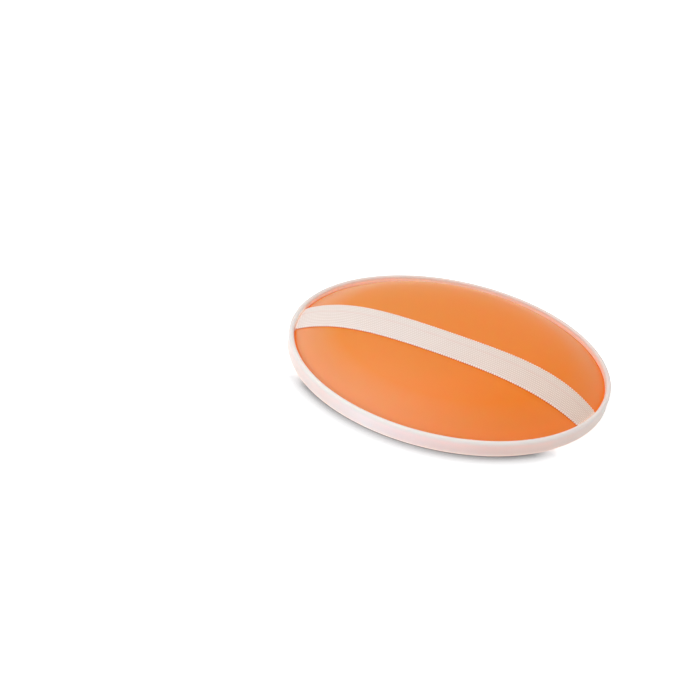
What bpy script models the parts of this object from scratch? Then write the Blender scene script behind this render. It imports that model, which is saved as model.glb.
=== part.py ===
"""Catch paddle: a domed disc snapped into a moulded ring rim, with an elastic hand strap.

The paddle lies on the front edge of its rim with the strap side up. The origin is on the
surface it lies on, below the centre of the rim. +Z points up, out of the paddle's back, and
the strap runs along X.
"""

import math

import bmesh
import bpy

MM = 0.001
CLEARANCE = 0.3 * MM            # gap between pieces that touch on the real paddle

# Rim: a ring-shaped channel, open towards the back and closed there by the disc's border
RIM_RADIUS = 96.0 * MM          # outer radius at the back
RIM_HEIGHT = 9.2 * MM
RIM_DRAFT = 0.4 * MM            # how much smaller the outer radius is at the front
RIM_WALL = 2.1 * MM             # outer wall, below the back lip
RIM_FLOOR = 1.8 * MM            # wall of the front lip
RIM_EDGE_ROUND = 1.2 * MM       # rounding of the front lip's two edges
LIP_ROUND = 1.5 * MM            # rounding of the back lip's two edges
BACK_LIP_WIDTH = 3.2 * MM
BACK_LIP_DEPTH = 3.3 * MM
FRONT_LIP_WIDTH = 7.0 * MM
INNER_WALL = 1.5 * MM
INNER_WALL_LEAN = 3.6 * MM      # how far the inner wall slopes inwards, front to back
CHANNEL_ROUND = 0.6 * MM

# Disc: a formed sheet, domed at the back and hollow at the front
DISC_THICKNESS = 1.2 * MM       # measured straight up, so the sheet is thinner where it is steep
DOME_RISE = 17.8 * MM           # height of the centre above the border
DOME_EDGE_ANGLE = 35.2          # degrees, slope of the sheet at the border

# Strap: woven elastic, laid over the dome and tucked through a slot at each end
STRAP_WIDTH = 27.2 * MM
STRAP_NARROWING_LEFT = 0.5 * MM     # how much narrower the strap is where it enters its slots
STRAP_NARROWING_RIGHT = 6.9 * MM    # the slot at +X is the shorter one and draws it in
NARROWING_POWER = 4             # how late along the strap it narrows
STRAP_THICKNESS = 1.0 * MM
STRAP_OFFSET = -17.8 * MM       # place of its centre line along Y
STRAP_BEND = 0.4 * MM           # inner radius of the bend round the slot's edge
HEM_HEIGHT = 2.4 * MM           # the doubled, welded end inside the rim's channel
HEM_FLOOR_GAP = 0.7 * MM        # from the hem's end to the channel's floor
HEM_OUTER_STATION = 0.8 * MM    # the hem's outer face is straight, with one row of points this far down
SLOT_MARGIN = 0.5 * MM          # free length of a slot on each side of the strap

# Fineness of the mesh
TURN_STEPS = 72
ROUND_STEPS = 3
DISC_RINGS = 11
STRAP_HALF_STATIONS = 13
STRAP_COLUMNS = 6
REACH_ROUNDS = 8                # rounds that find where a line of the strap ends
MIN_CUTTER_STEPS = 4
MERGE_DISTANCE = 1e-6
SLOPE_STEP = 0.01 * MM          # reach over which the slope of the dome is measured
SHARP_ANGLE = 40.0              # degrees, above which an edge between two faces is shaded sharp

# Fits between the pieces
FRONT_RADIUS = RIM_RADIUS - RIM_DRAFT
LIP_RADIUS = RIM_RADIUS - BACK_LIP_WIDTH
LIP_UNDERSIDE = RIM_HEIGHT - BACK_LIP_DEPTH
CHANNEL_RADIUS = RIM_RADIUS - RIM_WALL
DISC_RADIUS = CHANNEL_RADIUS - CLEARANCE
STRAP_OUTER_RADIUS = LIP_RADIUS - CLEARANCE
STRAP_INNER_RADIUS = STRAP_OUTER_RADIUS - STRAP_THICKNESS
SLOT_RADIUS = STRAP_INNER_RADIUS - CLEARANCE


def dome_shape(radius):
    """Height of the sheet above its border, level at the centre and steepest at the border."""
    bowl = DISC_RADIUS * math.tan(math.radians(DOME_EDGE_ANGLE)) / 2
    inset = 1 - (radius / DISC_RADIUS) ** 2
    return bowl * inset + (DOME_RISE - bowl) * inset ** 2


def disc_back(radius):
    """Height of the disc's back face, which meets the underside of the back lip."""
    border = LIP_UNDERSIDE - CLEARANCE - dome_shape(LIP_RADIUS)
    return border + dome_shape(radius)


def disc_front(radius):
    return disc_back(radius) - DISC_THICKNESS


def dome_angle(radius):
    """Angle in radians by which the sheet falls outwards at a radius."""
    fall = disc_back(radius - SLOPE_STEP) - disc_back(radius + SLOPE_STEP)
    return math.atan2(fall, 2 * SLOPE_STEP)


def add_material(obj, name, colour, roughness):
    material = bpy.data.materials.new(name)
    material.use_nodes = True
    shader = material.node_tree.nodes["Principled BSDF"]
    shader.inputs["Base Color"].default_value = (*colour, 1.0)
    shader.inputs["Roughness"].default_value = roughness
    shader.inputs["Metallic"].default_value = 0.0
    material.diffuse_color = (*colour, 1.0)
    obj.data.materials.append(material)


def add_object(name, mesh):
    """Put a finished bmesh into the scene as a named object with outward faces."""
    bmesh.ops.recalc_face_normals(mesh, faces=mesh.faces)
    data = bpy.data.meshes.new(name)
    mesh.to_mesh(data)
    mesh.free()
    obj = bpy.data.objects.new(name, data)
    bpy.context.collection.objects.link(obj)
    return obj


def shade_round(obj):
    obj.data.shade_smooth()
    obj.data.set_sharp_from_angle(angle=math.radians(SHARP_ANGLE))


def rounded_corner(before, corner, after, radius):
    """Points of the arc that rounds one corner of an outline."""
    back = math.atan2(before[1] - corner[1], before[0] - corner[0])
    ahead = math.atan2(after[1] - corner[1], after[0] - corner[0])
    half = (ahead - back + math.pi) % (2 * math.pi) - math.pi
    half /= 2
    middle = back + half
    reach = radius / abs(math.sin(half))
    centre = (corner[0] + reach * math.cos(middle), corner[1] + reach * math.sin(middle))
    sweep = math.copysign(math.pi / 2 - abs(half), half)
    points = []
    for step in range(ROUND_STEPS + 1):
        angle = middle + math.pi + sweep - 2 * sweep * step / ROUND_STEPS
        points.append((centre[0] + radius * math.cos(angle), centre[1] + radius * math.sin(angle)))
    return points


def rounded_outline(corners):
    """Closed outline through (radius, height, rounding) corners."""
    outline = []
    for index, (across, up, rounding) in enumerate(corners):
        if rounding == 0:
            outline.append((across, up))
            continue
        before = corners[index - 1]
        after = corners[(index + 1) % len(corners)]
        outline += rounded_corner(before, (across, up), after, rounding)
    return outline


def turned_solid(name, outline, closed, start=0.0, sweep=2 * math.pi, steps=TURN_STEPS):
    """Turn an outline of (radius, height) points about Z; an open one starts and ends on the axis."""
    mesh = bmesh.new()
    turn = complex(math.cos(start), math.sin(start))
    verts = [mesh.verts.new((across * turn.real, across * turn.imag, up)) for across, up in outline]
    profile = [mesh.edges.new(pair) for pair in zip(verts, verts[1:])]
    if closed:
        profile.append(mesh.edges.new((verts[-1], verts[0])))
    full_turn = math.isclose(sweep, 2 * math.pi)
    spun = bmesh.ops.spin(
        mesh, geom=verts + profile, cent=(0, 0, 0), axis=(0, 0, 1), angle=sweep, steps=steps,
        use_merge=full_turn)
    if not full_turn:
        last = [item for item in spun["geom_last"] if isinstance(item, bmesh.types.BMVert)]
        mesh.faces.new(verts)
        mesh.faces.new(last)
    bmesh.ops.remove_doubles(mesh, verts=mesh.verts, dist=MERGE_DISTANCE)
    return add_object(name, mesh)


def rim_corners():
    front_inner = FRONT_RADIUS - FRONT_LIP_WIDTH
    top_inner = front_inner - INNER_WALL_LEAN
    top_outer = top_inner + INNER_WALL
    top_inner_height = disc_front(top_inner) - CLEARANCE
    top_outer_height = disc_front(top_outer) - CLEARANCE
    slope = INNER_WALL_LEAN / top_inner_height
    channel_inner = front_inner + INNER_WALL - slope * RIM_FLOOR
    return [
        (FRONT_RADIUS, 0.0, RIM_EDGE_ROUND),
        (RIM_RADIUS, RIM_HEIGHT, LIP_ROUND),
        (LIP_RADIUS, RIM_HEIGHT, LIP_ROUND),
        (LIP_RADIUS, LIP_UNDERSIDE, 0.0),
        (CHANNEL_RADIUS, LIP_UNDERSIDE, 0.0),
        (CHANNEL_RADIUS, RIM_FLOOR, CHANNEL_ROUND),
        (channel_inner, RIM_FLOOR, CHANNEL_ROUND),
        (top_outer, top_outer_height, 0.0),
        (top_inner, top_inner_height, 0.0),
        (front_inner, 0.0, RIM_EDGE_ROUND),
    ]


def make_rim():
    rim = turned_solid("rim", rounded_outline(rim_corners()), closed=True)
    shade_round(rim)
    add_material(rim, "milky_soft_plastic", (0.84, 0.74, 0.71), 0.45)


def strap_across(place, along, narrowing):
    """Y of one lengthwise line of the strap; place runs from -0.5 to 0.5 over the width."""
    width = STRAP_WIDTH - narrowing * (along / STRAP_INNER_RADIUS) ** NARROWING_POWER
    return STRAP_OFFSET + place * width


def bend_start_radius():
    """Radius at which the strap leaves the dome and bends into its slot."""
    return STRAP_INNER_RADIUS - STRAP_BEND * (1 - math.sin(dome_angle(STRAP_INNER_RADIUS)))


def strap_reach(place, narrowing):
    """How far along X one lengthwise line of the strap lies on the dome."""
    start_radius = bend_start_radius()
    reach = start_radius
    for _ in range(REACH_ROUNDS):
        reach = math.sqrt(start_radius ** 2 - strap_across(place, reach, narrowing) ** 2)
    return reach


def end_angle(place, narrowing):
    """Angle about Z at which one lengthwise line of the strap enters its slot."""
    reach = strap_reach(place, narrowing)
    return math.atan2(strap_across(place, reach, narrowing), reach)


def slot_angles(narrowing):
    """First and last angle of a slot, taken at the +X end."""
    margin = SLOT_MARGIN / SLOT_RADIUS
    return end_angle(-0.5, narrowing) - margin, end_angle(0.5, narrowing) + margin


def slot_cutter(name, start, end):
    """Ring-shaped block that cuts one slot out of the disc's border."""
    outline = [
        (SLOT_RADIUS, 0.0),
        (RIM_RADIUS, 0.0),
        (RIM_RADIUS, RIM_HEIGHT + DOME_RISE),
        (SLOT_RADIUS, RIM_HEIGHT + DOME_RISE),
    ]
    turn_share = (end - start) / (2 * math.pi)
    steps = max(MIN_CUTTER_STEPS, round(TURN_STEPS * turn_share))
    cutter = turned_solid(name, outline, closed=True, start=start, sweep=end - start, steps=steps)
    cutter.hide_render = True
    cutter.display_type = "WIRE"
    return cutter


def make_disc():
    radii = [DISC_RADIUS * math.sin(math.pi / 2 * ring / DISC_RINGS) for ring in range(DISC_RINGS + 1)]
    back = [(radius, disc_back(radius)) for radius in radii]
    front = [(radius, disc_front(radius)) for radius in reversed(radii)]
    disc = turned_solid("catch_disc", back + front, closed=False)
    right_low, right_high = slot_angles(STRAP_NARROWING_RIGHT)
    left_low, left_high = slot_angles(STRAP_NARROWING_LEFT)
    for name, low, high in (
            ("slot_right", right_low, right_high),
            ("slot_left", math.pi - left_high, math.pi - left_low)):
        cut = disc.modifiers.new(name, "BOOLEAN")
        cut.operation = "DIFFERENCE"
        cut.object = slot_cutter(name + "_cutter", low, high)
    shade_round(disc)
    add_material(disc, "orange_sheet_plastic", (0.85, 0.25, 0.06), 0.4)


def strap_section():
    """Lower and upper (radius, height) points of the strap where it bends into its slot."""
    angle = dome_angle(STRAP_INNER_RADIUS)
    seat_gap = CLEARANCE / math.cos(angle)
    centre_radius = STRAP_INNER_RADIUS - STRAP_BEND
    centre_height = disc_back(bend_start_radius()) + seat_gap - STRAP_BEND * math.cos(angle)
    pairs = []
    for step in range(1, ROUND_STEPS + 1):
        tilt = angle + (math.pi / 2 - angle) * step / ROUND_STEPS
        pair = []
        for radius in (STRAP_BEND, STRAP_BEND + STRAP_THICKNESS):
            point = (centre_radius + radius * math.sin(tilt), centre_height + radius * math.cos(tilt))
            pair.append(point)
        pairs.append(pair)
    hem_end = RIM_FLOOR + HEM_FLOOR_GAP
    hem_top = hem_end + HEM_HEIGHT
    hem_inner_radius = STRAP_INNER_RADIUS - STRAP_THICKNESS
    for inner, height in ((STRAP_INNER_RADIUS, hem_top), (hem_inner_radius, hem_top),
                          (hem_inner_radius, hem_end)):
        pairs.append([(inner, height), (STRAP_OUTER_RADIUS, height)])
    pairs[-2][1] = (STRAP_OUTER_RADIUS, hem_top - HEM_OUTER_STATION)
    return pairs


def strap_half_column(place, narrowing):
    """Lower and upper points of one lengthwise line of the strap, from the middle to one end."""
    reach = strap_reach(place, narrowing)
    column = []
    for station in range(STRAP_HALF_STATIONS + 1):
        along = reach * math.sin(math.pi / 2 * station / STRAP_HALF_STATIONS)
        across = strap_across(place, along, narrowing)
        radius = math.hypot(along, across)
        angle = dome_angle(radius)
        low = (radius, disc_back(radius) + CLEARANCE / math.cos(angle))
        high = (radius + STRAP_THICKNESS * math.sin(angle), low[1] + STRAP_THICKNESS * math.cos(angle))
        column.append((math.atan2(across, along), low, high))
    turn = end_angle(place, narrowing)
    column += [(turn, low, high) for low, high in strap_section()]
    return column


def half_points(place, narrowing, face):
    """Points of one lengthwise line on the strap's lower or upper face, towards +X."""
    points = []
    for turn, low, high in strap_half_column(place, narrowing):
        radius, height = (low, high)[face]
        points.append((radius * math.cos(turn), radius * math.sin(turn), height))
    return points


def strap_grid(face):
    """Rows of points across the strap, from its -X end to its +X end, on its lower or upper face."""
    columns = []
    for index in range(STRAP_COLUMNS + 1):
        place = index / STRAP_COLUMNS - 0.5
        right = half_points(place, STRAP_NARROWING_RIGHT, face)
        left = half_points(place, STRAP_NARROWING_LEFT, face)
        columns.append([(-along, side, height) for along, side, height in reversed(left[1:])] + right)
    return list(zip(*columns))


def make_strap():
    mesh = bmesh.new()
    faces = []
    for face in (0, 1):
        rows = [[mesh.verts.new(point) for point in row] for row in strap_grid(face)]
        faces.append(rows)
        for row, following in zip(rows, rows[1:]):
            for index in range(STRAP_COLUMNS):
                mesh.faces.new((row[index], row[index + 1], following[index + 1], following[index]))
    lower, upper = faces
    loops = []
    for rows in (lower, upper):
        near_side = [row[0] for row in rows]
        far_side = [row[-1] for row in rows]
        loops.append(near_side + list(rows[-1][1:-1]) + far_side[::-1] + list(rows[0][1:-1])[::-1])
    count = len(loops[0])
    for index in range(count):
        following = (index + 1) % count
        mesh.faces.new((loops[0][index], loops[0][following], loops[1][following], loops[1][index]))
    strap = add_object("hand_strap", mesh)
    shade_round(strap)
    add_material(strap, "woven_elastic", (0.80, 0.68, 0.63), 0.9)


def main():
    for obj in list(bpy.data.objects):
        bpy.data.objects.remove(obj, do_unlink=True)
    make_rim()
    make_disc()
    make_strap()


main()
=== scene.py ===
# %% [markdown]
# # A catch paddle, from frame to finished picture
#
# The paddle is three real pieces: a milky ring-shaped rim, a domed orange disc that snaps into
# it, and an elastic strap for the hand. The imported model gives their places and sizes. This
# lesson remodels each piece finely with Blender's own tools, gives it a finish, and lights it.

# %% Load the frame
import math

import bmesh
import bpy
import numpy as np
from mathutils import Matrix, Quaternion, Vector


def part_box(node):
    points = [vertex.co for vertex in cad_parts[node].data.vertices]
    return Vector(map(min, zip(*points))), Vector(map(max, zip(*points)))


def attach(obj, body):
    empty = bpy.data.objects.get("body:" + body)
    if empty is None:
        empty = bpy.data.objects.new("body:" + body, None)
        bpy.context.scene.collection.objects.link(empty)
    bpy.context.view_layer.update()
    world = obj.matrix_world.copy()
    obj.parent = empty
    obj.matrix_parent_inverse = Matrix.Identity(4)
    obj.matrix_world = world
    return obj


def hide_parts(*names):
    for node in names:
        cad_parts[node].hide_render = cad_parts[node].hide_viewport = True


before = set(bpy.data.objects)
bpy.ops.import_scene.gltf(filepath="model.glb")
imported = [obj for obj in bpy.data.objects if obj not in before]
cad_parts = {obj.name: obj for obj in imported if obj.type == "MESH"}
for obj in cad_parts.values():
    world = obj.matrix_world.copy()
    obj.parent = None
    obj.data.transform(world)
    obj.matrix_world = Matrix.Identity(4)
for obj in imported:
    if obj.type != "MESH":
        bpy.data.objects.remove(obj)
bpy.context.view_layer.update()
MM = 0.001

# %% [markdown]
# ## Sizes
#
# The heights and the disc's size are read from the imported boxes, so the pieces below follow the
# model. What a box can't tell, such as a wall or a rounding, is written here, in millimetres as
# a maker would state it.

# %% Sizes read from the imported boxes
rim_low, rim_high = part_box("rim")
disc_low, disc_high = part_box("catch_disc")
strap_low, strap_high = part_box("hand_strap")

rim_height = rim_high.z
disc_radius = disc_high.y
dome_top = disc_high.z
for label, low, high in (
        ("rim", rim_low, rim_high), ("disc", disc_low, disc_high), ("strap", strap_low, strap_high)):
    print(label, "packed size in mm", [round((b - a) / MM, 2) for a, b in zip(low, high)])

# %% Sizes that a box can't tell
rim_radius = 96.0 * MM       # at the section's outer corner, before it is rounded
strap_width = 27.2 * MM      # in the middle, as the strap narrows towards its ends
strap_middle = -17.8 * MM    # Y of its middle line
CLEARANCE = 0.3 * MM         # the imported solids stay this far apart
SEAT_GAP = 0.05 * MM         # between the finished pieces, where the real ones touch
RIM_DRAFT = 0.4 * MM
RIM_WALL = 2.1 * MM
RIM_FLOOR = 1.8 * MM
RIM_EDGE_ROUND = 1.2 * MM
LIP_ROUND = 1.5 * MM
BACK_LIP_WIDTH = 3.2 * MM
BACK_LIP_DEPTH = 3.3 * MM
FRONT_LIP_WIDTH = 7.0 * MM
INNER_WALL = 1.5 * MM
INNER_WALL_LEAN = 3.6 * MM
DOME_RISE = 17.8 * MM        # of the middle over the border
DOME_EDGE_ANGLE = math.radians(35.2)
DISC_THICKNESS = 1.2 * MM    # straight up, which leaves 1.0 mm of sheet where it is steep
SHEET_THICKNESS = 1.0 * MM
STRAP_THICKNESS = 1.0 * MM
STRAP_BEND = 0.4 * MM
LEFT_NARROWING = 0.5 * MM    # how much narrower the strap is where it enters its slots
RIGHT_NARROWING = 6.9 * MM
NARROWING_POWER = 4
HEM_HEIGHT = 2.4 * MM
HEM_FLOOR_GAP = 0.7 * MM
SLOT_MARGIN = 0.1 * MM
SMOOTH_ANGLE = math.radians(35)      # edges sharper than this stay sharp

lip_radius = rim_radius - BACK_LIP_WIDTH
lip_underside = rim_height - BACK_LIP_DEPTH - CLEARANCE + SEAT_GAP
strap_outer_radius = lip_radius - SEAT_GAP
strap_inner_radius = strap_outer_radius - STRAP_THICKNESS
slot_radius = strap_inner_radius - SEAT_GAP


def dome_height(radius):
    """Height of the disc's back face: level in the middle, steepest at its border."""
    bowl = disc_radius * math.tan(DOME_EDGE_ANGLE) / 2
    inset = 1 - (radius / disc_radius) ** 2
    return dome_top - DOME_RISE + bowl * inset + (DOME_RISE - bowl) * inset ** 2


def dome_angle(radius):
    """How steeply the back face falls outwards, in radians."""
    step = 0.01 * MM
    return math.atan2(dome_height(radius - step) - dome_height(radius + step), 2 * step)


print("dome height at the lip in mm", round(dome_height(lip_radius) / MM, 2))
print("lip underside in mm", round(lip_underside / MM, 2))

# %% Lengthwise lines of the strap, seen from above
REACH_STEPS = 8              # the line's Y and X depend on each other, so they are found in steps

bend_angle = dome_angle(strap_inner_radius)
bend_start = strap_inner_radius - STRAP_BEND * (1 - math.sin(bend_angle))


def strap_across(place, along, narrowing):
    """Y of one line of the strap; place runs from -0.5 to 0.5 over the strap's width."""
    width = strap_width - narrowing * (along / strap_inner_radius) ** NARROWING_POWER
    return strap_middle + place * width


def strap_reach(place, narrowing):
    """X at which that line leaves the dome and bends into its slot."""
    reach = bend_start
    for _ in range(REACH_STEPS):
        reach = math.sqrt(bend_start ** 2 - strap_across(place, reach, narrowing) ** 2)
    return reach


def end_angle(place, narrowing):
    """Angle about Z at which that line enters its slot."""
    reach = strap_reach(place, narrowing)
    return math.atan2(strap_across(place, reach, narrowing), reach)


for side, narrowing in (("left", LEFT_NARROWING), ("right", RIGHT_NARROWING)):
    edges = [round(math.degrees(end_angle(place, narrowing)), 1) for place in (-0.5, 0.5)]
    print(side, "end of the strap enters its slot between degrees", edges)

# %% [markdown]
# ## The camera
#
# The paddle is seen from about 29 degrees above the table, a little from its right, and the
# camera is tipped sideways by 10 degrees. A camera is easiest to reason about as a point that
# it aims at, a distance, two angles and a roll, so it is built from those.

# %% Camera
SENSOR = 36.0
FOCAL_SHARE = 1500 / 700     # focal length over picture width, from how the rim's circles converge
CAMERA_AZIMUTH = math.radians(18.38)
CAMERA_ELEVATION = math.radians(29.32)
CAMERA_ROLL = math.radians(10.21)
CAMERA_DISTANCE = 883.5 * MM
CAMERA_AIM = Vector((-54.3 * MM, -22.05 * MM, 0.15 * MM))
CLIP_START = 0.01
CLIP_END = 20.0

bpy.ops.object.camera_add()
camera = bpy.context.object
camera.name = "photo_camera"
away = Vector((
    math.sin(CAMERA_AZIMUTH) * math.cos(CAMERA_ELEVATION),
    -math.cos(CAMERA_AZIMUTH) * math.cos(CAMERA_ELEVATION),
    math.sin(CAMERA_ELEVATION),
))
camera.location = CAMERA_AIM + away * CAMERA_DISTANCE
camera.rotation_mode = "QUATERNION"
camera.rotation_quaternion = (-away).to_track_quat("-Z", "Y") @ Quaternion((0, 0, 1), CAMERA_ROLL)
camera.data.sensor_width = SENSOR
camera.data.lens = SENSOR * FOCAL_SHARE
camera.data.clip_start = CLIP_START
camera.data.clip_end = CLIP_END
bpy.context.scene.camera = camera
print("camera at", [round(x, 3) for x in camera.location], "lens", round(camera.data.lens, 2))

# %% [markdown]
# ## Helpers for modelling by hand
#
# Operators act on whatever is selected, so each step starts from nothing selected. One helper
# below picks vertices, edges or faces by their place, which a modeller does with the mouse.


# %% Selection and modifier helpers
SAME_PLACE = 0.001 * MM      # points nearer than this are one point


def start_clean():
    """Leave edit mode and deselect everything, CAD nodes included."""
    if bpy.context.object and bpy.context.object.mode != "OBJECT":
        bpy.ops.object.mode_set(mode="OBJECT")
    bpy.ops.object.select_all(action="DESELECT")


def pick(obj, test, mode="VERT"):
    """In edit mode, select exactly the vertices, edges or faces of obj that pass the test."""
    bpy.ops.mesh.select_mode(type=mode)
    bpy.ops.mesh.select_all(action="DESELECT")
    mesh = bmesh.from_edit_mesh(obj.data)
    chosen = 0
    for item in {"VERT": mesh.verts, "EDGE": mesh.edges, "FACE": mesh.faces}[mode]:
        if test(item):
            item.select_set(True)
            chosen += 1
    mesh.select_flush_mode()
    bmesh.update_edit_mesh(obj.data)
    return chosen


def apply_modifier(obj, kind, **settings):
    """Add one modifier with its settings and apply it."""
    modifier = obj.modifiers.new(kind.lower(), kind)
    for name, value in settings.items():
        setattr(modifier, name, value)
    bpy.context.view_layer.objects.active = obj
    bpy.ops.object.modifier_apply(modifier=modifier.name)


def report(obj):
    """Say how big a finished piece is and how many faces it has."""
    size = [round(side / MM, 2) for side in obj.dimensions]
    triangles = sum(len(face.vertices) - 2 for face in obj.data.polygons)
    print(obj.name, "size in mm", size, "triangles", triangles)


# %% [markdown]
# ## The rim
#
# The real rim is one moulding of soft milky plastic: a channel that stands on its broad front
# lip, with a rounded back lip that hooks over the disc's border, and an inner wall that slopes
# in to carry the disc. It could be built from stacked rings, but a moulding has one continuous
# section, so the section is drawn once, its corners are rounded, and it is spun round the axis.
# The lip's inner edge shows a few small marks, such as trimming leaves, so it gets some too.

# %% Draw the rim's section
RIM_STEPS = 720
ROUND_SEGMENTS = 6
LIP_EDGE_ROUND = 0.15 * MM
CHANNEL_ROUND = 0.6 * MM
WALL_TOP_ROUND = 0.4 * MM

front_radius = rim_radius - RIM_DRAFT
channel_radius = rim_radius - RIM_WALL
front_inner = front_radius - FRONT_LIP_WIDTH
top_inner = front_inner - INNER_WALL_LEAN
top_outer = top_inner + INNER_WALL
wall_top = dome_height(top_inner) - DISC_THICKNESS - SEAT_GAP
wall_top_outer = dome_height(top_outer) - DISC_THICKNESS - SEAT_GAP
channel_inner = front_inner + INNER_WALL - INNER_WALL_LEAN / wall_top * RIM_FLOOR
section = [
    (front_radius, 0.0, RIM_EDGE_ROUND),
    (rim_radius, rim_height, LIP_ROUND),
    (lip_radius, rim_height, LIP_ROUND),
    (lip_radius, lip_underside, LIP_EDGE_ROUND),
    (channel_radius, lip_underside, LIP_EDGE_ROUND),
    (channel_radius, RIM_FLOOR, CHANNEL_ROUND),
    (channel_inner, RIM_FLOOR, CHANNEL_ROUND),
    (top_outer, wall_top_outer, WALL_TOP_ROUND),
    (top_inner, wall_top, WALL_TOP_ROUND),
    (front_inner, 0.0, RIM_EDGE_ROUND),
]
start_clean()
bpy.ops.mesh.primitive_circle_add(vertices=len(section), radius=rim_radius, fill_type="NGON")
rim = bpy.context.object
rim.name = "ring_rim"
for vertex, (radius, height, rounding) in zip(rim.data.vertices, section):
    vertex.co = (radius, 0.0, height)
print("section corners", len(section))

# %% Round the section's corners
bpy.ops.object.mode_set(mode="EDIT")
for radius, height, rounding in section:
    corner = Vector((radius, 0.0, height))
    pick(rim, lambda vertex: (vertex.co - corner).length < SAME_PLACE)
    bpy.ops.mesh.bevel(offset=rounding, segments=ROUND_SEGMENTS, affect="VERTICES")
print("section points", len(bmesh.from_edit_mesh(rim.data).verts))

# %% Spin the section round the axis
bpy.ops.mesh.select_all(action="SELECT")
bpy.ops.mesh.delete(type="ONLY_FACE")
bpy.ops.mesh.select_mode(type="EDGE")
bpy.ops.mesh.select_all(action="SELECT")
bpy.ops.mesh.spin(steps=RIM_STEPS, angle=2 * math.pi, center=(0, 0, 0), axis=(0, 0, 1))
bpy.ops.mesh.select_all(action="SELECT")
bpy.ops.mesh.remove_doubles(threshold=SAME_PLACE)
bpy.ops.mesh.normals_make_consistent(inside=False)
bpy.ops.object.mode_set(mode="OBJECT")
report(rim)

# %% Leave the trimmed inner edge of the back lip a little uneven
TRIM_WAVE = 0.05 * MM
TRIM_WAVES = ((9, 0.0), (23, 1.0), (41, 2.0))        # waves round the rim, and each one's phase
TRIM_MARK_WIDTH = math.radians(0.45)
TRIM_MARKS = {-73.2: 0.25 * MM, -65.2: 0.15 * MM, -63.0: 0.3 * MM, -42.2: 0.3 * MM}  # degrees, depth

for vertex in rim.data.vertices:
    radius = math.hypot(vertex.co.x, vertex.co.y)
    share = 1 - (radius - lip_radius) / LIP_ROUND
    if vertex.co.z < lip_underside or radius < lip_radius - TRIM_WAVE or share <= 0:
        continue
    turn = math.atan2(vertex.co.y, vertex.co.x)
    bulge = TRIM_WAVE * sum(math.sin(count * turn + phase) for count, phase in TRIM_WAVES) / 2
    for place, depth in TRIM_MARKS.items():
        bulge += depth * math.exp(-((turn - math.radians(place)) / TRIM_MARK_WIDTH) ** 2)
    vertex.co.x *= 1 - share * bulge / radius
    vertex.co.y *= 1 - share * bulge / radius
bpy.ops.object.shade_smooth_by_angle(angle=SMOOTH_ANGLE)
report(rim)

# %% [markdown]
# ## The disc
#
# The disc is a flat sheet of plastic that was heated and drawn into a shallow dome. The same
# can be done here: a flat round face is inset again and again, each time raised to the dome's
# height at that ring, and the single skin gets its wall afterwards. One ring is placed at the
# edge of the strap's slots, so that the slots can be cut by deleting faces, clean-edged.

# %% Raise the dome ring by ring
DISC_STEPS = 720
RINGS = 26
BORDER_RINGS = 3
RING_SPREAD = 0.985          # of a right angle, so the last ring stops just short of the middle

outer_rings = np.linspace(disc_radius, slot_radius, BORDER_RINGS + 1)
inner_rings = slot_radius * np.cos(np.linspace(0, math.pi / 2 * RING_SPREAD, RINGS + 1)[1:])
ring_radii = [*outer_rings, *inner_rings]
start_clean()
bpy.ops.mesh.primitive_circle_add(
    vertices=DISC_STEPS, radius=disc_radius, fill_type="NGON", location=(0, 0, dome_height(disc_radius)))
disc = bpy.context.object
disc.name = "domed_disc"
bpy.ops.object.transform_apply(location=True)
bpy.ops.object.mode_set(mode="EDIT")
bpy.ops.mesh.select_all(action="SELECT")
facet_share = math.cos(math.pi / DISC_STEPS)
for outer, inner in zip(ring_radii, ring_radii[1:]):
    bpy.ops.mesh.inset(
        thickness=(outer - inner) * facet_share, depth=dome_height(inner) - dome_height(outer),
        use_even_offset=True)
bpy.ops.mesh.poke()
print("rings", len(ring_radii))

# %% Cut the two slots and give the sheet its wall
slot_margin = SLOT_MARGIN / slot_radius


def in_slot(face):
    """Whether a face of the border lies where one end of the strap goes through."""
    centre = face.calc_center_median()
    narrowing = RIGHT_NARROWING if centre.x > 0 else LEFT_NARROWING
    turn = math.atan2(centre.y, abs(centre.x))
    first = end_angle(-0.5, narrowing) - slot_margin
    last = end_angle(0.5, narrowing) + slot_margin
    return first < turn < last and math.hypot(centre.x, centre.y) > slot_radius


print("slot faces", pick(disc, in_slot, "FACE"))
bpy.ops.mesh.delete(type="FACE")
bpy.ops.mesh.select_all(action="SELECT")
bpy.ops.mesh.normals_make_consistent(inside=False)
bpy.ops.object.mode_set(mode="OBJECT")
if sum(face.normal.z for face in disc.data.polygons) < 0:
    disc.data.flip_normals()
apply_modifier(disc, "SOLIDIFY", thickness=SHEET_THICKNESS, offset=-1.0, material_offset=1)
start_clean()
disc.select_set(True)
bpy.context.view_layer.objects.active = disc
bpy.ops.object.shade_smooth_by_angle(angle=SMOOTH_ANGLE)
report(disc)

# %% [markdown]
# ## The strap
#
# The strap is woven elastic. Its warp ribs run along it, the weft crosses them, and where the
# weft turns back at each edge it leaves a row of tiny loops. It is modelled flat, as it comes
# off the loom, and then laid over the dome, a little narrower where it enters its slots. The
# back of the band is never seen, so only its upper face is divided finely enough to carry the
# weave as real relief. On such elastic the ribs are about 1 mm apart and the picks closer still,
# too fine for the picture's pixels, so ribs, picks and edge loops are drawn about twice as coarse.

# %% Path of the strap's underside over the dome, for one line along it
PATH_POINTS = 160
BEND_POINTS = 8

bend_height = (dome_height(bend_start) + SEAT_GAP / math.cos(bend_angle)
               - STRAP_BEND * math.cos(bend_angle))
hem_end = RIM_FLOOR + HEM_FLOOR_GAP


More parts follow.
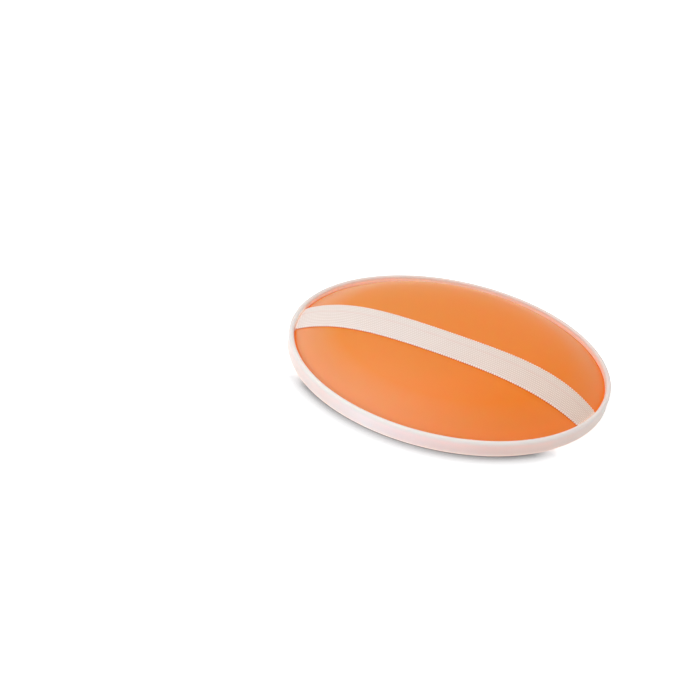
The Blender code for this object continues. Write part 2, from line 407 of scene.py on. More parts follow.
def strap_path(place, narrowing):
    """Points and outward normals along the underside of one line of the strap, middle to end."""
    points, normals = [], []
    for along in np.linspace(0, strap_reach(place, narrowing), PATH_POINTS):
        across = strap_across(place, along, narrowing)
        radius = math.hypot(along, across)
        angle = dome_angle(radius)
        points.append((along, across, dome_height(radius) + SEAT_GAP / math.cos(angle)))
        side = math.sin(angle) / radius if radius else 0.0
        normals.append((side * along, side * across, math.cos(angle)))
    turn = end_angle(place, narrowing)
    ahead, sideways = math.cos(turn), math.sin(turn)
    for tilt in np.linspace(bend_angle, math.pi / 2, BEND_POINTS)[1:]:
        radius = strap_inner_radius - STRAP_BEND + STRAP_BEND * math.sin(tilt)
        points.append((radius * ahead, radius * sideways, bend_height + STRAP_BEND * math.cos(tilt)))
        normals.append((math.sin(tilt) * ahead, math.sin(tilt) * sideways, math.cos(tilt)))
    points.append((*points[-1][:2], hem_end))
    normals.append(normals[-1])
    points, normals = np.array(points), np.array(normals)
    steps = np.linalg.norm(np.diff(points, axis=0), axis=1)
    return np.concatenate([[0], np.cumsum(steps)]), points, normals


middle_line = strap_path(0.0, 0.0)
half_length = middle_line[0][-1]
visible_half = middle_line[0][PATH_POINTS - 1]
print("strap length in mm", round(2 * half_length / MM, 1), "seen", round(2 * visible_half / MM, 1))

# %% Model the band flat
RIB_COUNT = 14               # 1.9 mm apart
PICK_PITCH = 1.25 * MM
PICOT_PITCH = 1.45 * MM
PICOT_REACH = 0.35 * MM      # how far the edge loops stand out from the band

band_width = strap_width - 2 * PICOT_REACH
picks = 2 * round(half_length / PICK_PITCH)
start_clean()
bpy.ops.mesh.primitive_grid_add(x_subdivisions=picks, y_subdivisions=RIB_COUNT, size=1.0)
strap = bpy.context.object
strap.name = "woven_strap"
bpy.ops.object.mode_set(mode="EDIT")
bpy.ops.mesh.select_all(action="SELECT")
bpy.ops.transform.resize(value=(2 * half_length, band_width, 1.0))
bpy.ops.object.mode_set(mode="OBJECT")
apply_modifier(strap, "SOLIDIFY", thickness=STRAP_THICKNESS, offset=1.0)
report(strap)

# %% Double the ends into hems and divide the upper face finely
THREAD_CUTS = 3
TURNED = 0.5                 # a face whose normal's Z is past this is turned up, or down

bpy.context.view_layer.objects.active = strap
strap.select_set(True)
bpy.ops.object.mode_set(mode="EDIT")
print("hem faces", pick(
    strap,
    lambda face: face.normal.z < -TURNED and abs(face.calc_center_median().x) > half_length - HEM_HEIGHT,
    "FACE"))
bpy.ops.mesh.extrude_region_move(TRANSFORM_OT_translate={"value": (0, 0, -STRAP_THICKNESS)})
print("upper faces", pick(strap, lambda face: face.normal.z > TURNED, "FACE"))
bpy.ops.mesh.subdivide(number_cuts=THREAD_CUTS)
bpy.ops.object.mode_set(mode="OBJECT")
report(strap)

# %% Model one edge loop and repeat it along both edges
PICOT_HALF_SIZE = Vector((0.54, 0.56, 0.5)) * MM
PICOT_HEIGHT = 0.46 * MM

picots = 2 * math.floor((visible_half - PICOT_HALF_SIZE.x) / PICOT_PITCH)
start_clean()
bpy.ops.mesh.primitive_ico_sphere_add(subdivisions=2, radius=1.0)
picot = bpy.context.object
picot.name = "edge_loops"
bpy.ops.object.mode_set(mode="EDIT")
bpy.ops.mesh.select_all(action="SELECT")
bpy.ops.transform.resize(value=PICOT_HALF_SIZE)
bpy.ops.transform.translate(value=(
    -picots / 2 * PICOT_PITCH, strap_width / 2 - PICOT_HALF_SIZE.y, PICOT_HEIGHT))
bpy.ops.object.mode_set(mode="OBJECT")
apply_modifier(picot, "ARRAY", count=picots + 1, use_relative_offset=False, use_constant_offset=True,
               constant_offset_displace=(PICOT_PITCH, 0, 0))
apply_modifier(picot, "MIRROR", use_axis=(False, True, False))
report(picot)

# %% Raise the weave
WEAVE_RELIEF = 0.26 * MM
RIDGE_BASE = 0.3             # share of a rib's height that is left between two picks
TOP_SHARE = 0.99             # what is above this share of the thickness is the upper face
SIDE_TOP = 0.6               # share of the thickness up to which the dome's orange reaches
LOOP_CREST = 1.5             # past any thread's crest, so that the finish can tell the loops
EDGE_ROLL = 0.3 * MM
EDGE_ROLL_WIDTH = 0.9 * MM
MARKER_PLACE = 4.4 * MM      # one thread of another colour runs along the band
MARKER_WIDTH = 0.6 * MM


def flat_points(obj):
    """The vertex places of a mesh as columns along, across and up."""
    values = np.empty(len(obj.data.vertices) * 3)
    obj.data.vertices.foreach_get("co", values)
    return values.reshape(-1, 3).T


def add_values(obj, name, values):
    """Keep one number per vertex on the mesh, for the material to read."""
    attribute = obj.data.attributes.new(name, "FLOAT", "POINT")
    attribute.data.foreach_set("value", values.astype(np.float32))


along, across, up = flat_points(strap)
rib_place = across * RIB_COUNT / band_width
pick_place = along * picks / (2 * half_length)
ridge = np.abs(np.sin(math.pi * rib_place))
knot = 0.5 + 0.5 * np.cos(2 * math.pi * (pick_place + 0.5 * np.floor(rib_place)))
crest = ridge * (RIDGE_BASE + (1 - RIDGE_BASE) * knot)
top = up > STRAP_THICKNESS * TOP_SHARE
roll = np.clip((np.abs(across) - band_width / 2 + EDGE_ROLL_WIDTH) / EDGE_ROLL_WIDTH, 0, 1) ** 2
lowered = up - np.where(top, WEAVE_RELIEF * (1 - crest) + EDGE_ROLL * roll, 0)
strap.data.vertices.foreach_set("co", np.array([along, across, lowered]).T.ravel())
add_values(strap, "thread_crest", crest)
add_values(strap, "marker_thread", np.exp(-((across - MARKER_PLACE) / MARKER_WIDTH) ** 2))
# Share of the painted orange light from the dome: full at the underside.
add_values(strap, "painted_dome_light", 1.0 - np.clip(lowered / STRAP_THICKNESS, 0, SIDE_TOP) / SIDE_TOP)
add_values(picot, "thread_crest", np.full(len(picot.data.vertices), LOOP_CREST))
print("crests from", round(float(crest.min()), 3), "to", round(float(crest.max()), 3))

# %% Join the loops to the band and lay it over the dome
FOLD_FADE = 0.8 * MM         # how far before its bend the strap's end starts to glow
STRAP_SMOOTH_ANGLE = math.radians(60)
LINE_DIGITS = 7              # a lengthwise line is told from the next one by its Y, in metres

start_clean()
picot.select_set(True)
strap.select_set(True)
bpy.context.view_layer.objects.active = strap
bpy.ops.object.join()
along, across, up = flat_points(strap)
laid = np.empty((len(along), 3))
fold = np.zeros(len(along))
for sign, narrowing in ((-1, LEFT_NARROWING), (1, RIGHT_NARROWING)):
    on_side = (along < 0) == (sign < 0)
    for place in np.unique(across.round(LINE_DIGITS)):
        line = on_side & (np.abs(across - place) < 10 ** -LINE_DIGITS)
        lengths, points, normals = strap_path(place / strap_width, narrowing)
        distance = np.abs(along[line]) * lengths[-1] / half_length
        fold[line] = np.clip(1 + (distance - lengths[PATH_POINTS - 1]) / FOLD_FADE, 0, 1)
        for axis in range(3):
            base = np.interp(distance, lengths, points[:, axis])
            lift = np.interp(distance, lengths, normals[:, axis]) * up[line]
            laid[line, axis] = (base + lift) * (sign if axis == 0 else 1)
strap.data.vertices.foreach_set("co", laid.ravel())
strap.data.update()
# Where the painted glow of the folded ends is full.
add_values(strap, "end_fold", fold)
bpy.ops.object.shade_smooth_by_angle(angle=STRAP_SMOOTH_ANGLE)
report(strap)

# %% [markdown]
# ## Finishes
#
# Each material is named for what the real piece is made of. Its colours are written as sRGB
# hex, as read off a colour chart, and one function turns them into Blender's linear values.
# Patterns read Object coordinates, so their sizes can be written in real millimetres.


# %% Colour and node helpers
def linear(hex_colour):
    """sRGB hex to the linear RGBA that shaders use."""
    channels = []
    for start in (0, 2, 4):
        value = int(hex_colour[start:start + 2], 16) / 255
        channels.append(value / 12.92 if value <= 0.04045 else ((value + 0.055) / 1.055) ** 2.4)
    return (*channels, 1.0)


def add_node(tree, kind, inputs=None, **settings):
    """Add one node with its settings; an input is a value or another node's output."""
    made = tree.nodes.new(kind)
    for name, value in settings.items():
        setattr(made, name, value)
    for socket, value in (inputs or {}).items():
        if isinstance(value, bpy.types.NodeSocket):
            tree.links.new(value, made.inputs[socket])
        else:
            made.inputs[socket].default_value = value
    return made


def new_material(name):
    """A node material with its Principled shader ready to set."""
    material = bpy.data.materials.new(name)
    material.use_nodes = True
    return material, material.node_tree, material.node_tree.nodes["Principled BSDF"]


print("the disc's orange in linear values", [round(value, 3) for value in linear("F08014")])

# %% [markdown]
# ## Finish of the disc
#
# The disc is a polypropylene sheet, coloured through, that lets a little light pass. Its back is
# satin, with a fine grain that spreads the highlights, and its front is glossy. Solidify gave
# the front faces the second material slot, so one mesh can carry both. Such plastic never shades
# to brown: where little light reaches it, it turns a deeper orange. Scattering alone came out
# too even, so light and shade are painted into the colour: painted light makes it paler towards
# -X and a stronger orange towards +X, and paler near the border, where the milky rim lights it,
# and painted shade turns the gaps under the back lip and beside the strap a deep orange.

# %% Disc: grain, cloudy tone and painted light on the satin back
POLYPROPYLENE_IOR = 1.49
ORANGE_SCATTER = (1.0, 0.3, 0.1)     # red light travels furthest in the orange sheet
ORANGE_SCATTER_DEPTH = 2.0 * MM
GRAIN_SIZE = 0.6 * MM        # the real grain is finer than a pixel, so it is drawn coarser
GRAIN_DEPTH = 0.02 * MM
GRAIN_STRENGTH = 0.35
CLOUD_SIZE = 45.0 * MM
CLOUD_SHARE = 0.3            # how far the clouds push the drift along

satin, tree, shader = new_material("polypropylene_satin_orange")
place = add_node(tree, "ShaderNodeTexCoord")
grain = add_node(tree, "ShaderNodeTexNoise", {
    "Vector": place.outputs["Object"], "Scale": 1 / GRAIN_SIZE, "Detail": 3.0})
bump = add_node(tree, "ShaderNodeBump", {
    "Height": grain.outputs["Fac"], "Distance": GRAIN_DEPTH, "Strength": GRAIN_STRENGTH})
split = add_node(tree, "ShaderNodeSeparateXYZ", {"Vector": place.outputs["Object"]})
# Painted light: the satin back pales towards -X and turns a stronger orange towards +X.
sideways = add_node(tree, "ShaderNodeMapRange", {
    "Value": split.outputs["X"], "From Min": -rim_radius, "From Max": rim_radius})
cloud = add_node(tree, "ShaderNodeTexNoise", {
    "Vector": place.outputs["Object"], "Scale": 1 / CLOUD_SIZE, "Detail": 2.0})
drift = add_node(tree, "ShaderNodeMath", {
    0: cloud.outputs["Fac"], 1: CLOUD_SHARE}, operation="MULTIPLY")
drift = add_node(tree, "ShaderNodeMath", {
    0: drift.outputs[0], 1: -CLOUD_SHARE / 2}, operation="ADD")
drift = add_node(tree, "ShaderNodeMath", {
    0: drift.outputs[0], 1: sideways.outputs["Result"]}, operation="ADD")
# The ramp's colours carry that painted light from -X to +X, and the clouds a random tone.
tint = add_node(tree, "ShaderNodeValToRGB", {"Fac": drift.outputs[0]})
tint.color_ramp.elements[0].color = linear("E88522")
tint.color_ramp.elements[1].color = linear("FC7C06")
tint.color_ramp.elements.new(0.5).color = linear("F08014")
print(satin.name, "nodes so far", len(tree.nodes))

# %% Disc: painted light on the border and painted shade in the gaps
OCCLUSION_SAMPLES = 4
# Painted light: the border of the satin back turns pale, most towards -X.
PALE_FROM = 68.0 * MM        # radius at which the border starts to turn pale
PALE_FULL = 90.0 * MM
PALE_LEAST = 0.25            # share of the paleness that is left at +X
PALE_LEAST_X = 80.0 * MM
PALE_MOST_X = -70.0 * MM
# Painted shade: where ambient occlusion finds a gap, the sheet turns a deep orange.
GAP_REACH = 2.0 * MM
GAP_FROM = 0.95              # ambient occlusion at which the gap's colour starts
GAP_FULL = 0.6

plan = add_node(tree, "ShaderNodeCombineXYZ", {"X": split.outputs["X"], "Y": split.outputs["Y"]})
radius = add_node(tree, "ShaderNodeVectorMath", {0: plan.outputs["Vector"]}, operation="LENGTH")
border = add_node(tree, "ShaderNodeMapRange", {
    "Value": radius.outputs["Value"], "From Min": PALE_FROM, "From Max": PALE_FULL})
pale_side = add_node(tree, "ShaderNodeMapRange", {
    "Value": split.outputs["X"], "From Min": PALE_LEAST_X, "From Max": PALE_MOST_X,
    "To Min": PALE_LEAST, "To Max": 1.0})
border = add_node(tree, "ShaderNodeMath", {
    0: border.outputs["Result"], 1: pale_side.outputs["Result"]}, operation="MULTIPLY")
# Painted light: the border pales towards this colour.
tint = add_node(tree, "ShaderNodeMixRGB", {
    "Fac": border.outputs[0], "Color1": tint.outputs["Color"], "Color2": linear("EA9868")})
# Painted shade: a deep orange in the gaps under the back lip and beside the strap.
near = add_node(tree, "ShaderNodeAmbientOcclusion", {"Distance": GAP_REACH}, samples=OCCLUSION_SAMPLES)
gap = add_node(tree, "ShaderNodeMapRange", {
    "Value": near.outputs["AO"], "From Min": GAP_FROM, "From Max": GAP_FULL})
tint = add_node(tree, "ShaderNodeMixRGB", {
    "Fac": gap.outputs["Result"], "Color1": tint.outputs["Color"], "Color2": linear("F6790E")})
tree.links.new(tint.outputs["Color"], shader.inputs["Base Color"])
tree.links.new(bump.outputs["Normal"], shader.inputs["Normal"])
shader.inputs["Roughness"].default_value = 0.45
shader.inputs["IOR"].default_value = POLYPROPYLENE_IOR
shader.inputs["Specular IOR Level"].default_value = 0.18
shader.inputs["Subsurface Weight"].default_value = 0.8
shader.inputs["Subsurface Radius"].default_value = ORANGE_SCATTER
shader.inputs["Subsurface Scale"].default_value = ORANGE_SCATTER_DEPTH
disc.data.materials.append(satin)
print(satin.name, "nodes", len(tree.nodes))

# %% Disc: glossy front
RIPPLE_SIZE = 30.0 * MM      # forming leaves the glossy face a little wavy
RIPPLE_DEPTH = 0.3 * MM
RIPPLE_STRENGTH = 0.2

gloss, tree, shader = new_material("polypropylene_gloss_orange")
place = add_node(tree, "ShaderNodeTexCoord")
ripple = add_node(tree, "ShaderNodeTexNoise", {
    "Vector": place.outputs["Object"], "Scale": 1 / RIPPLE_SIZE, "Detail": 1.0})
bump = add_node(tree, "ShaderNodeBump", {
    "Height": ripple.outputs["Fac"], "Distance": RIPPLE_DEPTH, "Strength": RIPPLE_STRENGTH})
tint = add_node(tree, "ShaderNodeMixRGB", {
    "Fac": ripple.outputs["Fac"], "Color1": linear("EC7420"), "Color2": linear("EE7C2C")})
tree.links.new(tint.outputs["Color"], shader.inputs["Base Color"])
tree.links.new(bump.outputs["Normal"], shader.inputs["Normal"])
shader.inputs["Roughness"].default_value = 0.12
shader.inputs["IOR"].default_value = POLYPROPYLENE_IOR
shader.inputs["Subsurface Weight"].default_value = 0.8
shader.inputs["Subsurface Radius"].default_value = ORANGE_SCATTER
shader.inputs["Subsurface Scale"].default_value = ORANGE_SCATTER_DEPTH
disc.data.materials.append(gloss)
print(gloss.name, "nodes", len(tree.nodes))

# %% [markdown]
# ## Finish of the rim
#
# The rim is low-density polyethylene without a pigment, so it is milky and lit through. Its lip
# is a warm white, its walls take on a pink from the orange disc behind them, and the channel
# that the disc closes looks orange. Scattering gives much of that. What it left too dark or too
# even is painted light and shade in the colour: the walls' pink, their drift round the rim as the
# light falls, the lip pinker towards the back, the channel's orange, and a paler foot with a
# painted glow where the table lights it, and the same in the narrow gap between back lip and disc.

# %% Rim: painted light and shade in the colours of wall, foot and lip
# Painted light and shade: the walls' pink stands for the disc's orange light, their drift for how light
# falls.
WALL_COLOURS = (             # share of the way from -X to +X, and the colour there
    (0.29, "EDDDDA"), (0.41, "F0E5E6"), (0.54, "F0DCDC"),
    (0.67, "EED6D3"), (0.79, "E8D0CA"), (0.9, "EFD6CE"))
FOOT_TOP = 0.3               # these four are shares of the rim's height or of the colour
FOOT_SHARE = 0.8
LIP_FROM = 0.7
LIP_FULL = 0.92

milky, tree, shader = new_material("polyethylene_milky")
place = add_node(tree, "ShaderNodeTexCoord")
split = add_node(tree, "ShaderNodeSeparateXYZ", {"Vector": place.outputs["Object"]})
plan = add_node(tree, "ShaderNodeCombineXYZ", {"X": split.outputs["X"], "Y": split.outputs["Y"]})
radius = add_node(tree, "ShaderNodeVectorMath", {0: plan.outputs["Vector"]}, operation="LENGTH")
level = add_node(tree, "ShaderNodeMapRange", {
    "Value": split.outputs["Z"], "From Min": 0.0, "From Max": rim_height})
sideways = add_node(tree, "ShaderNodeMapRange", {
    "Value": split.outputs["X"], "From Min": -rim_radius, "From Max": rim_radius})
walls = add_node(tree, "ShaderNodeValToRGB", {"Fac": sideways.outputs["Result"]})
walls.color_ramp.elements[0].color = linear("EDDCD6")
walls.color_ramp.elements[1].color = linear("E3D9D2")
for share, colour in WALL_COLOURS:
    walls.color_ramp.elements.new(share).color = linear(colour)
# Painted light: the foot is paler, where the table lights it.
at_foot = add_node(tree, "ShaderNodeMapRange", {
    "Value": level.outputs["Result"], "From Min": FOOT_TOP, "From Max": 0.0, "To Max": FOOT_SHARE})
walls = add_node(tree, "ShaderNodeMixRGB", {
    "Fac": at_foot.outputs["Result"], "Color1": walls.outputs["Color"], "Color2": linear("FFEAE4")})
at_lip = add_node(tree, "ShaderNodeMapRange", {
    "Value": level.outputs["Result"], "From Min": LIP_FROM, "From Max": LIP_FULL})
# Painted light: the lip turns pinker towards the back.
backward = add_node(tree, "ShaderNodeMapRange", {
    "Value": split.outputs["Y"], "From Min": -rim_radius, "From Max": rim_radius})
lip = add_node(tree, "ShaderNodeMixRGB", {
    "Fac": backward.outputs["Result"], "Color1": linear("DEDCDA"), "Color2": linear("DCCEC8")})
walls = add_node(tree, "ShaderNodeMixRGB", {
    "Fac": at_lip.outputs["Result"], "Color1": walls.outputs["Color"], "Color2": lip.outputs["Color"]})
print(milky.name, "nodes so far", len(tree.nodes))

# %% Rim: painted orange light in the channel and painted glow in the gap
# Painted light: the channel gets the orange of the light that the disc passes into it.
CHANNEL_BOUNDS = (           # a measure, the channel's edge in it, and where the orange is full
    (radius.outputs["Value"], 90.0 * MM, 91.0 * MM),
    (radius.outputs["Value"], 94.4 * MM, 93.4 * MM),
    (split.outputs["Z"], 1.0 * MM, 1.7 * MM),
    (split.outputs["Z"], 6.2 * MM, 5.6 * MM))
LIT_GAP_REACH = 2.5 * MM
LIT_GAP_FROM = 0.9           # ambient occlusion at which the gap's colour starts
LIT_GAP_FULL = 0.35
BACK_FROM = 3.0 * MM         # height from which a narrow place counts as the gap at the back
BACK_FULL = 5.0 * MM
GAP_GLOW = 0.22
FOOT_GLOW_TOP = 0.14         # share of the rim's height
FOOT_GLOW = 0.35

inside = 1.0
for value, edge, full in CHANNEL_BOUNDS:
    share = add_node(tree, "ShaderNodeMapRange", {"Value": value, "From Min": edge, "From Max": full})
    inside = add_node(tree, "ShaderNodeMath", {
        0: inside, 1: share.outputs["Result"]}, operation="MULTIPLY").outputs[0]
tint = add_node(tree, "ShaderNodeMixRGB", {
    "Fac": inside, "Color1": walls.outputs["Color"], "Color2": linear("F39A6E")})
# Painted light: where ambient occlusion finds the gap at the back, a pale tint and a glow.
near = add_node(tree, "ShaderNodeAmbientOcclusion", {"Distance": LIT_GAP_REACH}, samples=OCCLUSION_SAMPLES)
gap = add_node(tree, "ShaderNodeMapRange", {
    "Value": near.outputs["AO"], "From Min": LIT_GAP_FROM, "From Max": LIT_GAP_FULL})
at_back = add_node(tree, "ShaderNodeMapRange", {
    "Value": split.outputs["Z"], "From Min": BACK_FROM, "From Max": BACK_FULL})
gap = add_node(tree, "ShaderNodeMath", {
    0: gap.outputs["Result"], 1: at_back.outputs["Result"]}, operation="MULTIPLY")
tint = add_node(tree, "ShaderNodeMixRGB", {
    "Fac": gap.outputs[0], "Color1": tint.outputs["Color"], "Color2": linear("F0E8E0")})
through = add_node(tree, "ShaderNodeMath", {0: gap.outputs[0], 1: GAP_GLOW}, operation="MULTIPLY")
# Painted light: a glow at the foot.
foot_glow = add_node(tree, "ShaderNodeMapRange", {
    "Value": level.outputs["Result"], "From Min": FOOT_GLOW_TOP, "From Max": 0.0, "To Max": FOOT_GLOW})
through = add_node(tree, "ShaderNodeMath", {
    0: through.outputs[0], 1: foot_glow.outputs["Result"]}, operation="ADD")
print(milky.name, "nodes", len(tree.nodes))

# %% Rim: surface and scattering
POLYETHYLENE_IOR = 1.51
MILKY_SCATTER = (1.0, 0.75, 0.65)
MILKY_SCATTER_DEPTH = 3.5 * MM

# The painted glows of the gap and the foot.
tree.links.new(through.outputs[0], shader.inputs["Emission Strength"])
shader.inputs["Emission Color"].default_value = linear("FFD6C0")
tree.links.new(tint.outputs["Color"], shader.inputs["Base Color"])
shader.inputs["Roughness"].default_value = 0.42
shader.inputs["IOR"].default_value = POLYETHYLENE_IOR
shader.inputs["Specular IOR Level"].default_value = 0.35
shader.inputs["Subsurface Weight"].default_value = 1.0
shader.inputs["Subsurface Radius"].default_value = MILKY_SCATTER
shader.inputs["Subsurface Scale"].default_value = MILKY_SCATTER_DEPTH
rim.data.materials.append(milky)
print("rim finish", rim.data.materials[0].name)

# %% [markdown]
# ## Finish of the strap
#
# The strap is elastic, woven with polyester yarn, which is dull and slightly fuzzy. The crests
# of its threads are painted pale, a painted highlight, and the gaps between them a duller pink,
# painted shade. The numbers kept on the mesh say where the crests are, so the colours follow the
# weave wherever the strap bends. Painted light gives its lower side the orange of the dome and its
# folded ends a glow, and painted shade darkens it towards +X.

# %% Strap: painted highlight and shade on threads and edge loops, and the marker
LOOP_FROM = 1.1              # the edge loops' crest value is past every thread's
LOOP_FULL = 1.4
MARKER_SHARE = 0.2
FIBRE_SIZE = 0.4 * MM        # real fibres are far finer than a pixel, so they are drawn coarse
FIBRE_DEPTH = 0.04 * MM
FIBRE_STRENGTH = 0.5

elastic, tree, shader = new_material("woven_polyester_elastic")
place = add_node(tree, "ShaderNodeTexCoord")
crests = add_node(tree, "ShaderNodeAttribute", attribute_name="thread_crest")
marker = add_node(tree, "ShaderNodeAttribute", attribute_name="marker_thread")
fibres = add_node(tree, "ShaderNodeTexNoise", {
    "Vector": place.outputs["Object"], "Scale": 1 / FIBRE_SIZE, "Detail": 2.0})
# Painted highlight on the crests and painted shade in the gaps; the edge loops as pale as the crests.
threads = add_node(tree, "ShaderNodeMixRGB", {
    "Fac": crests.outputs["Fac"], "Color1": linear("D6C2B7"), "Color2": linear("FFF4EF")})
is_loop = add_node(tree, "ShaderNodeMapRange", {
    "Value": crests.outputs["Fac"], "From Min": LOOP_FROM, "From Max": LOOP_FULL})
threads = add_node(tree, "ShaderNodeMixRGB", {
    "Fac": is_loop.outputs["Result"], "Color1": threads.outputs["Color"], "Color2": linear("FFF6F1")})
marked = add_node(tree, "ShaderNodeMath", {
    0: marker.outputs["Fac"], 1: MARKER_SHARE}, operation="MULTIPLY")
tint = add_node(tree, "ShaderNodeMixRGB", {
    "Fac": marked.outputs[0], "Color1": threads.outputs["Color"], "Color2": linear("DFA89A")})
print(elastic.name, "nodes so far", len(tree.nodes))

# %% Strap: painted shade towards +X, painted light on its side and folded ends, and surface
STRAP_SHADE_FROM_X = -20.0 * MM
STRAP_SHADE_FULL_X = 90.0 * MM
FOLD_GLOW = 0.16

split = add_node(tree, "ShaderNodeSeparateXYZ", {"Vector": place.outputs["Object"]})
# Painted shade: the strap turns darker and warmer towards +X.
sideways = add_node(tree, "ShaderNodeMapRange", {
    "Value": split.outputs["X"], "From Min": STRAP_SHADE_FROM_X, "From Max": STRAP_SHADE_FULL_X})
tint = add_node(tree, "ShaderNodeMixRGB", {
    "Fac": sideways.outputs["Result"], "Color1": tint.outputs["Color"], "Color2": linear("FAEEE5")},
    blend_type="MULTIPLY")
# Painted light: the dome's orange on the strap's lower side.
side = add_node(tree, "ShaderNodeAttribute", attribute_name="painted_dome_light")
tint = add_node(tree, "ShaderNodeMixRGB", {
    "Fac": side.outputs["Fac"], "Color1": tint.outputs["Color"], "Color2": linear("F4844A")})
bump = add_node(tree, "ShaderNodeBump", {
    "Height": fibres.outputs["Fac"], "Distance": FIBRE_DEPTH, "Strength": FIBRE_STRENGTH})
tree.links.new(tint.outputs["Color"], shader.inputs["Base Color"])
tree.links.new(bump.outputs["Normal"], shader.inputs["Normal"])
# Painted light: the folded ends glow a little.
folded = add_node(tree, "ShaderNodeAttribute", attribute_name="end_fold")
through = add_node(tree, "ShaderNodeMath", {
    0: folded.outputs["Fac"], 1: FOLD_GLOW}, operation="MULTIPLY")
tree.links.new(through.outputs[0], shader.inputs["Emission Strength"])
shader.inputs["Emission Color"].default_value = linear("F3BFA8")
shader.inputs["Roughness"].default_value = 0.85
shader.inputs["Sheen Weight"].default_value = 0.2
shader.inputs["Subsurface Weight"].default_value = 0.4
shader.inputs["Subsurface Radius"].default_value = (1.0, 0.8, 0.7)
shader.inputs["Subsurface Scale"].default_value = 1.0 * MM
strap.data.materials.append(elastic)
print(elastic.name, "nodes", len(tree.nodes))

# %% [markdown]
# ## The table
#
# The paddle lies on a plain white table. Its surface is a diffuse white. To the camera and in
# reflections it gets a little light of its own, so it shows as white without more light on the
# paddle, and it still takes the paddle's shadow. Large soft lamps leave the shadow by the near
# side too weak, so ambient occlusion darkens the table there. A mask keeps that to the side that
# is turned from the light, and on the other side the table glows a little more.

# %% Table
TABLE_SIZE = 6.0
TABLE_GAP = 0.02 * MM        # keeps the table's face clear of the rim's front edge
FLOOR_GLOW = 0.24
LIT_SIDE_GLOW = 0.45
SHADE_REACH = 12.0 * MM
SHADE_FULL = 0.45            # ambient occlusion at which the shade is full
SHADE_END = 0.92
SHADOW_SIDE = (0.1, -0.995, 0.0)     # the side of the paddle that is turned from the light
SHADOW_EDGE = 0.74           # cosines of the angle from that side
LIT_EDGE = 0.58

start_clean()
bpy.ops.mesh.primitive_plane_add(size=TABLE_SIZE, location=(0.0, 0.0, -TABLE_GAP))
table = bpy.context.object
table.name = "table"
paper, tree, shader = new_material("white_table")
tree.nodes.remove(shader)


def seen_directly(tree):
    """1 for rays from the camera or by way of gloss or glass, 0 for light on its way elsewhere."""
    path = add_node(tree, "ShaderNodeLightPath")
    seen = path.outputs["Is Camera Ray"]
    for name in ("Is Glossy Ray", "Is Transmission Ray"):
        seen = add_node(tree, "ShaderNodeMath", {
            0: seen, 1: path.outputs[name]}, operation="MAXIMUM").outputs[0]
    return seen


near = add_node(tree, "ShaderNodeAmbientOcclusion", {"Distance": SHADE_REACH}, samples=OCCLUSION_SAMPLES)
unshaded = add_node(tree, "ShaderNodeMapRange", {
    "Value": near.outputs["AO"], "From Min": SHADE_FULL, "From Max": SHADE_END})
place = add_node(tree, "ShaderNodeTexCoord")
outward = add_node(tree, "ShaderNodeVectorMath", {0: place.outputs["Object"]}, operation="NORMALIZE")
facing = add_node(tree, "ShaderNodeVectorMath", {
    0: outward.outputs["Vector"], 1: SHADOW_SIDE}, operation="DOT_PRODUCT")
lit = add_node(tree, "ShaderNodeMapRange", {
    "Value": facing.outputs["Value"], "From Min": SHADOW_EDGE, "From Max": LIT_EDGE})
unshaded = add_node(tree, "ShaderNodeMath", {
    0: unshaded.outputs["Result"], 1: lit.outputs["Result"]}, operation="MAXIMUM")
seen = seen_directly(tree)
unseen = add_node(tree, "ShaderNodeMath", {0: 1.0, 1: seen}, operation="SUBTRACT")
clear = add_node(tree, "ShaderNodeMath", {
    0: unshaded.outputs[0], 1: unseen.outputs[0]}, operation="MAXIMUM")
print(paper.name, "nodes so far", len(tree.nodes))

# %% Table: surface and glow
shade = add_node(tree, "ShaderNodeMixRGB", {
    "Fac": clear.outputs[0], "Color1": linear("82888C"), "Color2": linear("FAFAFA")})
matte = add_node(tree, "ShaderNodeBsdfDiffuse", {"Color": shade.outputs["Color"]})
glow_level = add_node(tree, "ShaderNodeMapRange", {
    "Value": lit.outputs["Result"], "To Min": FLOOR_GLOW, "To Max": LIT_SIDE_GLOW})
glow_level = add_node(tree, "ShaderNodeMath", {
    0: seen, 1: glow_level.outputs["Result"]}, operation="MULTIPLY")
glow_level = add_node(tree, "ShaderNodeMath", {
    0: glow_level.outputs[0], 1: unshaded.outputs[0]}, operation="MULTIPLY")
glow = add_node(tree, "ShaderNodeEmission", {
    "Color": linear("FAFBFC"), "Strength": glow_level.outputs[0]})
both = add_node(tree, "ShaderNodeAddShader", {0: matte.outputs["BSDF"], 1: glow.outputs["Emission"]})
tree.links.new(both.outputs["Shader"], tree.nodes["Material Output"].inputs["Surface"])
table.data.materials.append(paper)
print(paper.name, "nodes", len(tree.nodes))

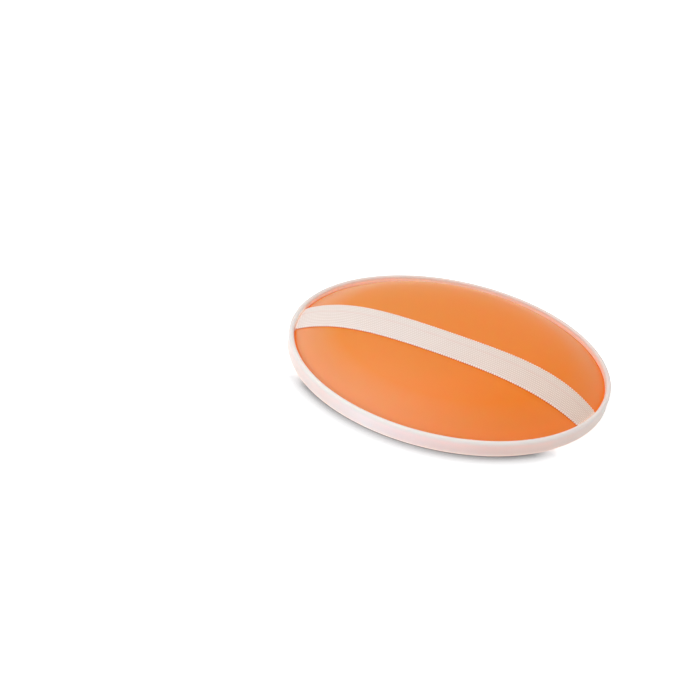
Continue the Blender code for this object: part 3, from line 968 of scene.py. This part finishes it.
# %% [markdown]
# ## World and lamps
#
# A toy like this is shown under large soft lamps, which leave broad highlights without hard
# edges. A white world gives the even light. The key softbox hangs above and to the left, a weak
# fill stands behind, and a broad one in front lifts the near wall. The reflector adds nothing to
# diffuse light. It is there to be mirrored by the satin dome as one broad pale sheen.

# %% World
WORLD_LIGHT = 0.6            # strength of the white world for light that reaches the paddle
WORLD_SEEN = 1.0             # and where it is seen, where 1 is white

world = bpy.data.worlds.new("studio")
bpy.context.scene.world = world
world.use_nodes = True
tree = world.node_tree
background = tree.nodes["Background"]
background.inputs["Color"].default_value = linear("FFFFFF")
strength = add_node(tree, "ShaderNodeMapRange", {
    "Value": seen_directly(tree), "To Min": WORLD_LIGHT, "To Max": WORLD_SEEN})
tree.links.new(strength.outputs["Result"], background.inputs["Strength"])
print(world.name, "nodes", len(tree.nodes))


# %% Lamps
def add_softbox(name, place, size, watts):
    """A square area lamp that faces the paddle."""
    bpy.ops.object.light_add(type="AREA", location=place)
    lamp = bpy.context.object
    lamp.name = name
    lamp.data.size = size
    lamp.data.energy = watts
    lamp.rotation_mode = "QUATERNION"
    lamp.rotation_quaternion = (-Vector(place)).to_track_quat("-Z", "Y")
    print(name, "size in m", size, "watts", watts)
    return lamp


add_softbox("key_softbox", place=(-0.5, 0.1, 1.2), size=0.9, watts=4.4)
back_fill = add_softbox("back_fill", place=(0.5, 0.8, 1.0), size=0.8, watts=1.6)
back_fill.visible_glossy = False
add_softbox("front_fill", place=(-0.45, -1.45, 0.7), size=1.4, watts=10.0)
reflector = add_softbox("reflector", place=(-0.39, 0.38, 1.17), size=0.9, watts=11.0)
reflector.visible_diffuse = False

# %% Picture settings
view = bpy.context.scene.view_settings
view.view_transform = "Standard"
print("view transform", view.view_transform)

# %% [markdown]
# ## Hand over to the frame
#
# Each finished piece stands for its imported solid, which is hidden, and rides on the paddle's
# one body.

# %% Attach the pieces
for piece, node_name, slot_name in (
        (rim, "rim", "rim"), (disc, "catch_disc", "disc"), (strap, "hand_strap", "strap")):
    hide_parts(node_name)
    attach(piece, "root")
    print(piece.name, "stands for", node_name)
